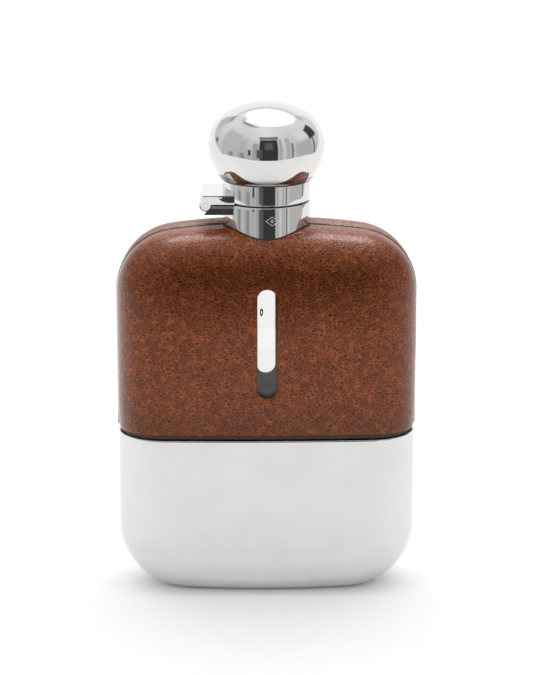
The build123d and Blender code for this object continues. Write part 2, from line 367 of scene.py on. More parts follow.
def silver_material(name, colour, low, high, scratch, grain=(1, 1, 1), painted_shading=None):
    """Polished silver plate: roughness drifts softly, with fine scratches and a trace of tarnish.

    painted_shading is (z, z, share), painted light and shade by height: the colour is multiplied by share
    below the first height and by 1 above the second.
    """
    material, tree, shader = new_material(name)
    place = millimetres(tree)
    stretched = vector_maths(tree, "MULTIPLY", place, grain)
    soft = remap(tree, noise(tree, place, 0.12, 3.0), 0.3, 0.7)
    fine = remap(tree, noise(tree, stretched, 2.4, 5.0, 0.65), 0.35, 0.65)
    soft = maths(tree, "MULTIPLY", soft, 0.6)
    share = maths(tree, "ADD", soft, maths(tree, "MULTIPLY", fine, 0.4))
    tree.links.new(remap(tree, share, 0.0, 1.0, low, high), shader.inputs["Roughness"])
    tarnish = remap(tree, noise(tree, place, 0.09, 5.0, 0.6), 0.45, 0.85)
    dull = tuple(c * k for c, k in zip(colour, (0.95, 0.94, 0.91)))
    base = blend_colours(tree, tarnish, (*colour, 1), (*dull, 1))
    if painted_shading:
        low_z, high_z, shading_share = painted_shading
        share = remap(tree, axes(tree, place)["Z"], low_z, high_z, shading_share, 1.0)
        base = scaled_colour(tree, base, share)
    tree.links.new(base, shader.inputs["Base Color"])
    shader.inputs["Metallic"].default_value = 1.0
    add_bump(tree, shader, scratch, 0.00001, noise(tree, stretched, 3.0, 6.0, 0.7))
    return material


def leaf_material(name, lean, low_z, high_z, shade_colour):
    """Silver of a hinge leaf whose cast faces lean over a little.

    The end face towards -Y is painted dark between the two heights, a painted shade.
    """
    material, tree, shader = new_material(name)
    place = millimetres(tree)
    rough = remap(tree, noise(tree, place, 0.5, 4.0), 0.3, 0.7, 0.04, 0.10)
    tree.links.new(rough, shader.inputs["Roughness"])
    parts = axes(tree, place)
    near_ring = remap(tree, parts["X"], -13.5, -9.5)
    upper = remap(tree, parts["Z"], 112.7, 113.9)
    upright = maths(tree, "MULTIPLY", maths(tree, "MULTIPLY", near_ring, upper), 0.8)
    rise = maths(tree, "SUBTRACT", parts["Z"], 112.2)
    height = maths(tree, "SUBTRACT", rise, maths(tree, "MULTIPLY", rise, upright))
    height = maths(tree, "MULTIPLY", height, lean)
    waves = maths(tree, "MULTIPLY", noise(tree, place, 0.45, 2.0), 0.06)
    add_bump(tree, shader, 1.0, 0.001, maths(tree, "ADD", height, waves))

    # Painted shade along the edge, and round the lower side of the knuckles
    soft = 0.08
    end = remap(tree, parts["Y"], HINGE_END_Y, HINGE_END_Y - 0.1)
    above = remap(tree, parts["Z"], low_z, low_z + soft)
    line = maths(tree, "MULTIPLY", above, remap(tree, parts["Z"], high_z, high_z - soft))
    across = maths(tree, "SUBTRACT", parts["X"], HINGE_X)
    down = maths(tree, "SUBTRACT", parts["Z"], HINGE_Z)
    across_square = maths(tree, "MULTIPLY", across, across)
    down_square = maths(tree, "MULTIPLY", down, down)
    reach = maths(tree, "SQRT", maths(tree, "ADD", across_square, down_square))
    rim = maths(tree, "MULTIPLY", remap(tree, reach, 1.28, 1.42), remap(tree, reach, 1.75, 1.68))
    rim = maths(tree, "MULTIPLY", rim, remap(tree, down, 0.6, -0.4))
    shade_mask = maths(tree, "MULTIPLY", end, maths(tree, "MAXIMUM", line, rim), clamp=True)
    base = blend_colours(tree, shade_mask, (*SILVER, 1), (*shade_colour, 1))
    tree.links.new(base, shader.inputs["Base Color"])
    tree.links.new(maths(tree, "SUBTRACT", 1.0, shade_mask), shader.inputs["Metallic"])
    return material


def glass_material():
    """Clear old glass, faintly green, with slow ripples in its surface."""
    material, tree, shader = new_material("clear_glass")
    place = millimetres(tree)
    shader.inputs["Base Color"].default_value = (0.885, 0.884, 0.874, 1)
    shader.inputs["Roughness"].default_value = 0.0
    shader.inputs["IOR"].default_value = 1.48
    shader.inputs["Transmission Weight"].default_value = 1.0
    add_bump(tree, shader, 0.2, 0.0001, noise(tree, place, 0.12, 1.0))
    return material


def cork_material():
    material, tree, shader = new_material("cork")
    place = millimetres(tree)
    keys = {"Vector": place, "Scale": 0.9, "Randomness": 1.0}
    cells = link_node(tree, "ShaderNodeTexVoronoi", keys).outputs["Distance"]
    pits = remap(tree, noise(tree, place, 1.1, 4.0, 0.7), 0.56, 0.66)
    base = blend_colours(tree, remap(tree, cells, 0.0, 0.9), (0.50, 0.29, 0.14, 1), (0.33, 0.17, 0.075, 1))
    base = blend_colours(tree, maths(tree, "MULTIPLY", pits, 0.8), base, (0.10, 0.045, 0.02, 1))
    tree.links.new(base, shader.inputs["Base Color"])
    shader.inputs["Roughness"].default_value = 0.85
    add_bump(tree, shader, 0.6, 0.0002, maths(tree, "SUBTRACT", cells, pits))
    return material


def plain_material(name, first, second, roughness, scale, metallic=0.0):
    """Matt or dull surface whose colour wanders between two tones."""
    material, tree, shader = new_material(name)
    place = millimetres(tree)
    share = remap(tree, noise(tree, place, scale, 4.0, 0.6), 0.3, 0.7)
    tree.links.new(blend_colours(tree, share, (*first, 1), (*second, 1)), shader.inputs["Base Color"])
    shader.inputs["Roughness"].default_value = roughness
    shader.inputs["Metallic"].default_value = metallic
    add_bump(tree, shader, 0.3, 0.00005, noise(tree, place, scale * 6, 3.0))
    return material


SILVER = (0.705, 0.700, 0.690)
leather = leather_material("brown_hide")
seam_leather = leather_material("seam_hide", 0.8)
silver = silver_material("silver_polished", SILVER, 0.015, 0.05, 0.04)
# The dome's colour is darkened low on its underside: a painted dark reflection of the leather and the gap
# above the ring.
silver_dome = silver_material("silver_dome", SILVER, 0.015, 0.05, 0.04, painted_shading=(119.3, 120.1, 0.42))
# The cup's colour is lifted towards its foot: painted light against the dark reflection of the contact
# shadow.
silver_cup = silver_material(
    "silver_cup", (0.700, 0.698, 0.695), 0.12, 0.20, 0.10, grain=(1, 1, 0.25), painted_shading=(2.0, 13.0, 1.15)
)
silver_dull = silver_material("silver_dull", (0.55, 0.53, 0.50), 0.22, 0.40, 0.15)
# The band's near-black colour is painted shade of the recess between leather and cup.
silver_band = silver_material("silver_band", (0.055, 0.052, 0.048), 0.30, 0.45, 0.10)
mark_metal = plain_material("mark_engraving", (0.72, 0.71, 0.69), (0.50, 0.49, 0.47), 0.45, 2.0, 0.6)
bubble_grey = plain_material("bubble_rim", (0.16, 0.14, 0.13), (0.10, 0.09, 0.08), 0.5, 2.0)
# Near-black material for painted shade in contact lines and gaps.
shade_paint = plain_material("shade_paint", (0.020, 0.014, 0.010), (0.035, 0.024, 0.016), 0.9, 1.2)
glass = glass_material()
cork = cork_material()
cement = plain_material("plaster", (0.66, 0.60, 0.50), (0.50, 0.44, 0.35), 0.9, 0.5)
# The leaves carry painted shade on their front end faces and under the knuckles.
silver_leaf = leaf_material("silver_leaf", 0.105, 114.42, 114.75, LEAF_SHADE)
pin_steel = leaf_material("pin_steel", 0.125, 130.0, 131.0, LEAF_SHADE)
silver_lower_leaf = leaf_material("silver_lower_leaf", 0.0, 111.15, 111.9, (0.16, 0.125, 0.11))
lining = plain_material("leather_back", (0.42, 0.35, 0.28), (0.27, 0.21, 0.16), 0.8, 0.4)


# ---------------------------------------------------------------- leather panels


def edge_roll(rise):
    """Radius of the rolled edge: large down the sides, smaller over the top, by the outline's slope there."""
    return LEATHER_SIDE_ROLL + (LEATHER_TOP_ROLL - LEATHER_SIDE_ROLL) * smooth(rise, 0.0, 0.95)


def shoulder_path():
    """Leather outline, left lower edge over the top to the right: points and outward normals."""
    crown_z = LEATHER_TOP - CROWN_RADIUS
    corner_x = LEATHER_WIDTH - LEATHER_CORNER
    corner_z = crown_z + math.sqrt((CROWN_RADIUS - LEATHER_CORNER) ** 2 - corner_x**2)
    lean = math.degrees(math.asin(corner_x / (CROWN_RADIUS - LEATHER_CORNER)))
    points = []
    normals = []
    heights = [LEATHER_BOTTOM + t for t in (0, 0.06, 0.15, 0.28, 0.45, 0.7)]
    heights += list(np.linspace(LEATHER_BOTTOM + 1.1, corner_z, 58))
    for z in heights:
        points.append((LEATHER_WIDTH, z))
        normals.append((1.0, 0.0))
    for angle in np.radians(np.linspace(0, 90 - lean, 60)[1:]):
        ray = (math.cos(angle), math.sin(angle))
        points.append((corner_x + LEATHER_CORNER * ray[0], corner_z + LEATHER_CORNER * ray[1]))
        normals.append(ray)
    for angle in np.radians(np.linspace(90 - lean, 90, 40)[1:]):
        ray = (math.cos(angle), math.sin(angle))
        points.append((CROWN_RADIUS * ray[0], crown_z + CROWN_RADIUS * ray[1]))
        normals.append(ray)
    points = np.array(points)
    normals = np.array(normals)
    mirror = np.array([-1.0, 1.0])
    return np.vstack([points * mirror, points[-2::-1]]), np.vstack([normals * mirror, normals[-2::-1]])


def face_depth(x, depth):
    """Half thickness of a softly bulged face at x."""
    return depth - FACE_BULGE * (np.asarray(x) / (LEATHER_WIDTH + 1)) ** 2


def leather_panel(name, side, node):
    """Half of the leather cover: side -1 is the front. The sheet has its own back, slot and rolled edges."""
    outline, outward = shoulder_path()
    roll = edge_roll(outward[:, 1])
    base = outline - outward * roll[:, None]
    count = len(base)
    rows = []
    normals = []
    dips = []
    centre_y = face_depth(base[:, 0], LEATHER_DEPTH) - roll
    seam = 0.9
    for share, dip in ((0, 0.75), (0.06, 0.50), (0.14, 0.28), (0.26, 0.10), (0.45, 0.02), (0.7, 0.0)):
        y = seam + (centre_y - seam) * share
        rows.append(np.column_stack([outline[:, 0], y, outline[:, 1]]))
        normals.append(np.column_stack([outward[:, 0], np.zeros(count), outward[:, 1]]))
        dips.append(np.full(count, dip))
    for angle in np.radians(np.linspace(0, 90, 25)):
        out = roll * math.cos(angle)
        up = roll * math.sin(angle)
        moved = base + outward * out[:, None]
        rows.append(np.column_stack([moved[:, 0], centre_y + up, moved[:, 1]]))
        ray = outward * math.cos(angle)
        normals.append(np.column_stack([ray[:, 0], np.full(count, math.sin(angle)), ray[:, 1]]))
        dips.append(np.zeros(count))
    points = [np.vstack(rows)]
    directions = [np.vstack(normals)]
    dip = [np.concatenate(dips)]
    faces = grid_faces(len(rows), count, False)

    # The flat of the face, between the edge roll and the slot
    low_x = np.linspace(base[-1, 0], base[0, 0], 76)[1:-1]
    loop = np.vstack([base, np.column_stack([low_x, np.full(len(low_x), LEATHER_BOTTOM)])])
    spine_z = np.clip(loop[:, 1], SLOT_Z - SLOT_HALF, SLOT_Z + SLOT_HALF)
    ray = loop - np.column_stack([np.zeros(len(loop)), spine_z])
    reach = np.linalg.norm(ray, axis=1)
    ray /= reach[:, None]
    start = sum(len(p) for p in points)
    shares = [0, 0.004, 0.010, 0.020, 0.035] + list(np.linspace(0.06, 0.93, 40)) + [0.96]
    lip = [(0.9, 0.0), (0.5, 0.03), (0.3, 0.10), (0.15, 0.22), (0.05, 0.36), (0.0, 0.5)]
    total = len(loop)
    for index in range(len(shares) + len(lip)):
        if index < len(shares):
            out = SLOT_RADIUS + 0.9 + (reach - SLOT_RADIUS - 0.9) * (1 - shares[index])
            fall = 0.0
        else:
            gap, fall = lip[index - len(shares)]
            out = np.full(total, SLOT_RADIUS + gap)
        x = ray[:, 0] * out
        z = spine_z + ray[:, 1] * out
        points.append(np.column_stack([x, face_depth(x, LEATHER_DEPTH), z]))
        directions.append(np.tile((0.0, 1.0, 0.0), (total, 1)))
        dip.append(np.full(total, fall))
    faces += grid_faces(len(shares) + len(lip), total, True, start)
    points = np.vstack(points)
    directions = np.vstack(directions)
    dip = np.concatenate(dip)

    # Rolled lower edge, slight hollows and swells of hand-laid hide
    above = np.clip(points[:, 2] - LEATHER_BOTTOM, 0, None)
    dip = dip + 0.42 * np.clip(1 - above / 0.7, 0, 1) ** 2 + 0.35 * np.clip(1 - above / 9.0, 0, 1) ** 2
    wave = np.sin(points[:, 0] * 0.31 + 1.3) * np.sin(points[:, 2] * 0.23 + 0.4) + 0.6 * np.sin(
        points[:, 0] * 0.11 - points[:, 2] * 0.17
    )
    dip = dip + 0.05 + 0.035 * wave
    outer = points - directions * dip[:, None]
    inner = points - directions * LEATHER_THICK
    half = len(points)
    verts = np.vstack([outer, inner])
    verts[:, 1] *= side
    both = list(faces) + [tuple(half + i for i in reversed(face)) for face in faces]
    lookup = {}
    for index, key in enumerate(map(tuple, np.round(points, 5))):
        lookup.setdefault(key, index)
    same = [lookup[key] for key in map(tuple, np.round(points, 5))]
    used = {}
    for face in faces:
        for a, b in zip(face, face[1:] + face[:1]):
            pair = frozenset((same[a], same[b]))
            used.setdefault(pair, []).append((a, b))
    for pairs in used.values():
        if len(pairs) == 1:
            a, b = pairs[0]
            both.append((b, a, half + a, half + b))
    piece = make_piece(name, verts, both, leather, "bottle", [node], 60.0)
    paint_lining(piece, side)
    return piece


def paint_lining(piece, side):
    """The flesh side of the hide, against the glass, is undyed."""
    piece.data.materials.append(lining)
    for face in piece.data.polygons:
        centre = face.center / MM
        depth = float(face_depth(centre.x, LEATHER_DEPTH))
        normal_y = face.normal.y * side
        if normal_y < -0.3 and abs(centre.y) < depth:
            face.material_index = 1


leather_panel("leather_front_hide", -1, "leather_front")
leather_panel("leather_back_hide", 1, "leather_back")


def seam_ridge():
    """Ridge pressed along both side seams, from the collar over the shoulder to the lower edge."""
    base, outward = shoulder_path()
    verts = []
    faces = []
    for side in (-1, 1):
        keep = [i for i in range(len(base)) if base[i, 0] * side > COLLAR_RADIUS + 0.05]
        path = base[keep]
        normal = outward[keep]
        ring = []
        for angle in np.radians(np.linspace(0, 180, 11)):
            ring.append((0.92 * math.cos(angle), -0.30 + 0.42 * math.sin(angle) ** 0.8))
        ring += [(-0.85, -0.65), (0.85, -0.65)]
        start = len(verts)
        for index in range(len(path)):
            taper = min(1.0, 0.55 + 0.15 * index, 0.55 + 0.15 * (len(path) - 1 - index))
            for y, rise in ring:
                x, z = path[index] + normal[index] * (rise if rise < 0 else rise * taper)
                verts.append((x, y, z))
        width = len(ring)
        faces += grid_faces(len(path), width, True, start)
        faces.append(tuple(range(start, start + width)))
        last = start + (len(path) - 1) * width
        faces.append(tuple(range(last, last + width)))
    return make_piece("seam_ridge", verts, faces, seam_leather, "bottle", ["seam_welt"], 60.0)


seam_ridge()


# ---------------------------------------------------------------- cup and foot


class Pillow:
    """Flat rounded form of the cup: outline corners, round edges and bulged faces, open upwards.

    The edge roll is tighter by full at the middle of the faces, so the foot is lens-shaped.
    """

    def __init__(self, inset, width=41.9, depth=14.6, bottom=-0.7, corner=18.9, edge=12.5, full=2.5):
        self.width = width - inset
        self.depth = depth - inset
        self.bottom = bottom + inset
        self.corner = corner - inset
        self.edge = edge - inset
        self.full = full

    def outside(self, x, y, z):
        """Signed distance, roughly, from the surface."""
        corner_x = self.width - self.corner
        corner_z = self.bottom + self.corner
        across = np.abs(x) - corner_x
        down = corner_z - z
        edge = self.edge - self.full * (1 - np.minimum(np.abs(x) / 27, 1) ** 2)
        small = self.corner - edge
        round_part = np.hypot(np.maximum(across, 0), np.maximum(down, 0)) - small
        flat_part = np.minimum(np.maximum(across, down), 0)
        side = np.where(z >= corner_z, across - small, round_part + flat_part)
        hold = face_depth(x, self.depth) - edge
        return np.hypot(np.maximum(side, 0), np.maximum(np.abs(y) - hold, 0)) - edge

    def section(self, z, count):
        """Closed horizontal loop at height z, on rays from a central spine."""
        corner_z = self.bottom + self.corner
        width = self.width
        if z < corner_z:
            width = self.width - self.corner + math.sqrt(self.corner**2 - (corner_z - z) ** 2)
        rise = max(self.bottom + self.edge - z, 0)
        depth = self.depth - self.edge + math.sqrt(self.edge**2 - rise**2)
        spine = width - depth
        flat = int(count * 0.31)
        bend = (count - 2 * flat) // 2
        starts = []
        rays = []
        for side in (1, -1):
            for share in np.linspace(-1, 1, flat, endpoint=False):
                starts.append(side * share * spine)
                rays.append((0.0, -float(side)))
            for angle in np.linspace(-90, 90, bend, endpoint=False):
                starts.append(side * spine)
                turn = math.radians(angle)
                rays.append((side * math.cos(turn), side * math.sin(turn)))
        starts = np.array(starts)
        rays = np.array(rays)
        level = np.full(len(starts), z)
        near = np.zeros(len(starts))
        far = np.full(len(starts), 60.0)
        for _ in range(44):
            middle = (near + far) / 2
            inside = self.outside(starts + rays[:, 0] * middle, rays[:, 1] * middle, level) < 0
            near = np.where(inside, middle, near)
            far = np.where(inside, far, middle)
        return np.column_stack([starts + rays[:, 0] * near, rays[:, 1] * near, level])


def section_heights(form, low, high):
    """Heights that follow the edge roll evenly, then the corner, then the straight side."""
    first = math.acos((form.edge - (low - form.bottom)) / form.edge)
    roll = [form.bottom + form.edge * (1 - math.cos(a)) for a in np.linspace(first, math.pi / 2, 30)]
    roll[0] = low
    roll += list(np.linspace(roll[-1], form.bottom + form.corner, 9))[1:]
    return [z for z in roll if z < high] + list(np.linspace(max(roll[-1], low), high, 24))[1:]


def cup_piece():
    """Outer and inner walls joined by a rounded rim, open at the foot where the base plate sits.

    The inner corners are tighter than the outer ones, so the cup clears the glass.
    """
    outer = Pillow(0.0)
    inner = Pillow(CUP_WALL, corner=CUP_INNER_CORNER)
    outer_heights = section_heights(outer, FOOT_THICK, CUP_RIM - 0.5)
    inner_heights = section_heights(inner, FOOT_THICK, CUP_RIM - 0.35)
    loops = [outer.section(z, CUP_LOOP) for z in [*outer_heights, CUP_RIM - 0.14]]
    for inset, drop in ((0.02, 0.08), (0.08, 0.02), (0.16, 0.0), (0.6, 0.0), (0.70, 0.03), (0.78, 0.14)):
        loops.append(Pillow(inset).section(CUP_RIM - drop, CUP_LOOP))
    loops += [inner.section(z, CUP_LOOP) for z in reversed(inner_heights)]
    loops.append(loops[0])
    verts = np.vstack(loops)
    faces = grid_faces(len(loops), len(loops[0]), True)
    return make_piece("cup_silver", verts, faces, silver_cup, "cup", ["cup_body"], 50.0)


def base_plate_piece():
    """Flat foot with a crisp, slightly worn edge."""
    form = Pillow(0.0)
    loops = [form.section(z, CUP_LOOP) for z in (FOOT_THICK, 0.6, 0.4, 0.22, 0.1)]
    foot = form.section(0.0, CUP_LOOP)
    loops.append(foot * np.array([0.9985, 0.993, 1.0]) + np.array([0, 0, 0.03]))
    loops.append(foot * np.array([0.996, 0.982, 1.0]))
    loops.append(foot * np.array([0.985, 0.93, 1.0]))
    loops.append(foot * np.array([0.5, 0.3, 1.0]))
    count = len(foot)
    verts = np.vstack([*loops, loops[0] * np.array([0.99, 0.96, 1.0]), loops[0] * np.array([0.5, 0.3, 1.0])])
    rows = len(loops)
    faces = grid_faces(rows, count, True)
    faces.append(tuple(range((rows - 1) * count, rows * count)))
    top = rows * count
    for column in range(count):
        after = (column + 1) % count
        faces.append((column, after, top + after, top + column))
        faces.append((top + column, top + after, top + count + after, top + count + column))
    faces.append(tuple(range(top + count, top + 2 * count)))
    return make_piece("cup_foot", verts, faces, silver_cup, "cup", ["cup_base_plate"], 40.0)


cup_piece()
base_plate_piece()


def band_form(inset):
    """Form of the glass, which the band is wrapped on."""
    return Pillow(inset, 40.8, 13.5, 0.4, 16.4, 11.4, 0.0)


def band_piece():
    """Thin metal band under the lower edge of the leather, coloured near black as painted shade of its
    recess.
    """
    outer = band_form(-0.45)
    inner = band_form(-0.02)
    loops = [outer.section(z, CUP_LOOP) for z in (46.52, 46.62, 46.9, 47.2, LEATHER_BOTTOM)]
    loops.append(inner.section(LEATHER_BOTTOM, CUP_LOOP))
    loops.append(inner.section(BAND_LOW, CUP_LOOP))
    loops.append(band_form(-0.33).section(BAND_LOW, CUP_LOOP))
    loops.append(loops[0])
    verts = np.vstack(loops)
    faces = grid_faces(len(loops), len(loops[0]), True)
    node = "stop_band"
    return make_piece("stop_band_metal", verts, faces, silver_band, "bottle", [node], 50.0)


band_piece()


# ---------------------------------------------------------------- neck collar, ring and dome


def leather_height(x, y):
    """Height of the leather's top surface near the neck."""
    roll = edge_roll(1.0)
    hold = face_depth(x, LEATHER_DEPTH) - roll
    over = np.maximum(np.abs(y) - hold, 0)
    inset = roll - np.sqrt(roll**2 - over**2)
    return LEATHER_TOP - CROWN_RADIUS + np.sqrt((CROWN_RADIUS - inset) ** 2 - np.asarray(x) ** 2)


def collar_piece():
    """Neck collar whose lower edge lies on the leather, flared very slightly there."""
    turn = np.linspace(0, 2 * math.pi, COLLAR_LOOP, endpoint=False)
    across = np.cos(turn)
    along = np.sin(turn)
    foot = leather_height(COLLAR_RADIUS * across, COLLAR_RADIUS * along)
    rows = []

    def ring(radius, z):
        rows.append(np.column_stack([radius * across, radius * along, z + 0 * turn]))

    for radius, sunk in ((11.6, 0.02), (12.24, 0.03)):
        ring(radius, leather_height(radius * across, radius * along) - sunk)
    ring(COLLAR_WORN, foot + 0.42)
    ring(COLLAR_RADIUS, foot + 0.43)
    ring(COLLAR_RADIUS, foot + 0.70)
    for share in np.linspace(0, 1, 10)[1:]:
        ring(COLLAR_RADIUS, foot + 0.7 + (COLLAR_TOP - 0.22 - foot - 0.7) * share)
    for inward, down in ((0.04, 0.10), (0.12, 0.03), (0.23, 0.0)):
        ring(COLLAR_RADIUS - inward, COLLAR_TOP - down)
    ring(COLLAR_MOUTH, COLLAR_TOP)
    ring(COLLAR_MOUTH, COLLAR_TOP - 1.0)
    ring(COLLAR_BORE, COLLAR_TOP - 1.0)
    rows.append(rows[0])
    verts = np.vstack(rows)
    faces = grid_faces(len(rows), COLLAR_LOOP, True)
    piece = make_piece("collar_silver", verts, faces, silver, "bottle", ["neck_collar"], 40.0)

    # Painted shade: a dark contact line round the foot, where the collar sits on the leather.
    def in_foot_line(x, y, z):
        return 12.2 < math.hypot(x, y) < 12.32 and z < float(leather_height(x, y)) + 0.45

    paint_shade(piece, in_foot_line)
    return piece


collar_piece()


def mark_piece():
    """A plain stamped mark, a lozenge round a small ring, on the front of the collar."""
    radius = COLLAR_RADIUS + 0.012
    centre_x = 1.4
    centre_z = 108.4
    verts = []
    faces = []

    def band(points, width):
        start = len(verts)
        count = len(points)
        middle = np.mean(points, axis=0)
        for x, z in points:
            for share in (1.0, 1.0 - width):
                px = centre_x + middle[0] + (x - middle[0]) * share
                pz = centre_z + middle[1] + (z - middle[1]) * share
                for lift in (0.0, 0.014):
                    turn = px / radius
                    out = radius - 0.02 + lift
                    verts.append((out * math.sin(turn), -out * math.cos(turn), pz))
        for index in range(count):
            here = start + index * 4
            there = start + (index + 1) % count * 4
            for a, b in ((1, 3), (3, 2), (2, 0), (0, 1)):
                faces.append((here + a, there + a, there + b, here + b))

    def lozenge(wide, high, steps=8):
        corners = [(wide, 0), (0, high), (-wide, 0), (0, -high), (wide, 0)]
        out = []
        for a, b in zip(corners[:-1], corners[1:]):
            for step in range(steps):
                share = step / steps
                out.append((a[0] + (b[0] - a[0]) * share, a[1] + (b[1] - a[1]) * share))
        return out

    band(lozenge(1.9, 1.35), 0.15)
    turns = np.linspace(0, 2 * math.pi, 20, endpoint=False)
    band([(0.42 * math.cos(a), 0.42 * math.sin(a)) for a in turns], 0.5)
    return make_piece("collar_mark", verts, faces, mark_metal, "bottle")


mark_piece()


def ring_piece():
    """Hinged ring with a bevelled lower edge and a rebate inside."""
    corners = [
        (RING_RADIUS, RING_LOW + 0.43),
        (RING_RADIUS, RING_TOP),
        (RING_BORE, RING_TOP),
        (RING_BORE, RING_STEP),
        (RING_REBATE, RING_STEP),
        (RING_REBATE, RING_LOW),
        (RING_REBATE + 0.07, RING_LOW),
    ]
    profile = rounded_profile(corners, [0.08, 0.16, 0.05, 0.05, 0, 0.03, 0.04])
    verts, faces = lathe(profile, RING_LOOP)
    piece = make_piece("ring_silver", verts, faces, silver, "lid_ring", ["hinge_ring"], 40.0)
    # Painted shade on the ring's top face, the dark gap under the dome.
    paint_shade(piece, lambda x, y, z: z > RING_TOP - 0.09)
    return piece


def dome_profile(inset):
    """Bun-shaped outline drawn in by inset, from the lower edge up to the axis."""
    rise = DOME_TOP - DOME_WIDEST
    side_x = DOME_RADIUS - DOME_HIGH_ROLL
    crown = (side_x**2 + rise**2 - DOME_HIGH_ROLL**2) / (2 * (rise - DOME_HIGH_ROLL))
    join = math.degrees(math.atan2(DOME_WIDEST - (DOME_TOP - crown), side_x))
    low = DOME_LOW_ROLL - inset
    start = -math.degrees(math.asin((DOME_WIDEST - DOME_WALL_LOW) / low))
    points = arc_points((DOME_RADIUS - DOME_LOW_ROLL, DOME_WIDEST), low, start, 0, 26)
    points += arc_points((side_x, DOME_WIDEST), DOME_HIGH_ROLL - inset, 0, join, 40)[1:]
    points += arc_points((0, DOME_TOP - crown), crown - inset, join, 90, 20)[1:]
    points[-1] = (0.0, points[-1][1])
    return points


def dome_piece():
    """Dome shell with a small rolled lower edge."""
    outer = dome_profile(0.0)
    inner = dome_profile(DOME_WALL)
    profile = [(inner[0][0] - 0.05, DOME_LOW)]
    for inward, rise in ((0.42, 0.0), (0.26, 0.02), (0.12, 0.08), (0.03, 0.18)):
        profile.append((outer[0][0] - inward, DOME_LOW + rise))
    profile += outer + inner[::-1]
    profile.append(profile[0])
    verts, faces = lathe(profile, DOME_LOOP)
    return make_piece("dome_silver", verts, faces, silver_dome, "dome", ["dome_shell"], 50.0)


ring_piece()
dome_piece()


def bubble_piece():
    """A small oval bubble in the front wall of the glass, seen through the slot, drawn as an opaque grey
    ring: a painted dark outline.
    """
    sides = 10
    turns = 36
    verts = []
    for turn in np.linspace(0, 2 * math.pi, turns, endpoint=False):
        for around in np.linspace(0, 2 * math.pi, sides, endpoint=False):
            reach = 1 + 0.45 * math.cos(around)
            x = -1.58 + 0.31 * reach * math.cos(turn) + 0.05 * math.sin(turn)
            verts.append((x, -12.45 + 0.12 * math.sin(around), 82.9 + 0.76 * reach * math.sin(turn)))
    faces = grid_faces(turns + 1, sides, True)
    return make_piece("glass_bubble", verts + verts[:sides], faces, bubble_grey, "bottle")


bubble_piece()


# ---------------------------------------------------------------- carried-over CAD nodes

finishes = {
    "glass_bottle": glass,
    "neck_cement": cement,
    "neck_sleeve": silver_dull,
    "collar_hinge_leaf": silver_lower_leaf,
    "ring_hinge_leaf": silver_leaf,
    "hinge_pin": pin_steel,
    "dome_floor": silver_dull,
    "bayonet_tube": silver_dull,
    "bayonet_lugs": silver_dull,
    "dome_retainer": silver_dull,
    "cork_disc": cork,
}
for node_name, finish in finishes.items():
    target = nodes[node_name]
    if target.material_slots:
        for material_slot in target.material_slots:
            material_slot.material = finish
    else:
        target.data.materials.append(finish)


# ---------------------------------------------------------------- studio


def emission_material(name, attribute):
    """Glow whose colour is painted on the mesh."""
    material = bpy.data.materials.new(name)
    material.use_nodes = True
    tree = material.node_tree
    tree.nodes.clear()
    paint = link_node(tree, "ShaderNodeVertexColor", layer_name=attribute).outputs["Color"]
    glow = link_node(tree, "ShaderNodeEmission", {"Color": paint, "Strength": 1.0}).outputs[0]
    link_node(tree, "ShaderNodeOutputMaterial", {"Surface": glow})
    return material


def stage_mesh(name, verts, faces, material):
    mesh = bpy.data.meshes.new(name)
    mesh.from_pydata(verts, [], faces)
    mesh.polygons.foreach_set("use_smooth", [True] * len(mesh.polygons))
    mesh.materials.append(material)
    thing = bpy.data.objects.new(name, mesh)
    bpy.context.scene.collection.objects.link(thing)
    return thing


def only_reflected(thing):
    """Seen in mirrors and gloss, and by nothing else."""
    thing.visible_camera = False
    thing.visible_diffuse = False
    thing.visible_shadow = False
    thing.visible_transmission = False
    thing.visible_volume_scatter = False


def floor_piece():
    """White paper, painted a touch darker towards the camera as painted shade."""
    material, tree, shader = new_material("paper_floor")
    share = remap(tree, axes(tree, millimetres(tree))["Y"], -120.0, -35.0)
    base = blend_colours(tree, share, (0.865, 0.865, 0.865, 1), (0.90, 0.90, 0.90, 1))
    tree.links.new(base, shader.inputs["Base Color"])
    shader.inputs["Roughness"].default_value = 0.9
    shader.inputs["Specular IOR Level"].default_value = 0.1
    verts = [
        (-FLOOR_SIDE, FLOOR_FRONT, 0),
        (FLOOR_SIDE, FLOOR_FRONT, 0),
        (FLOOR_SIDE, FLOOR_BACK, 0),
        (-FLOOR_SIDE, FLOOR_BACK, 0),
    ]
    return stage_mesh("floor", verts, [(0, 1, 2, 3)], material)


def patch(azimuth, elevation, left, right, bottom, top, soft):
    """1 inside a rectangle of directions, 0 outside, with soft sides."""
    across = smooth(azimuth, left - soft, left + soft) * (1 - smooth(azimuth, right - soft, right + soft))
    under_top = 1 - smooth(elevation, top - soft, top + soft)
    return across * smooth(elevation, bottom - soft, bottom + soft) * under_top


def lamp_share(azimuth, elevation):
    """The ceiling light, a little behind and to the right of straight up, and its dark frame, near left."""
    a = np.radians(azimuth)
    e = np.radians(elevation)
    across = np.sin(a) * np.cos(e)
    behind = -np.cos(a) * np.cos(e)
    reach = np.hypot((across - 0.06) / 0.42, (behind - 0.20) / 0.26)
    frame_band = smooth(reach, 1.06, 1.14) * (1 - smooth(reach, 1.18, 1.34)) * smooth(-behind, -0.30, -0.05)
    return 1 - smooth(reach, 0.75, 1.15), frame_band * smooth(-across, -0.30, 0.10)


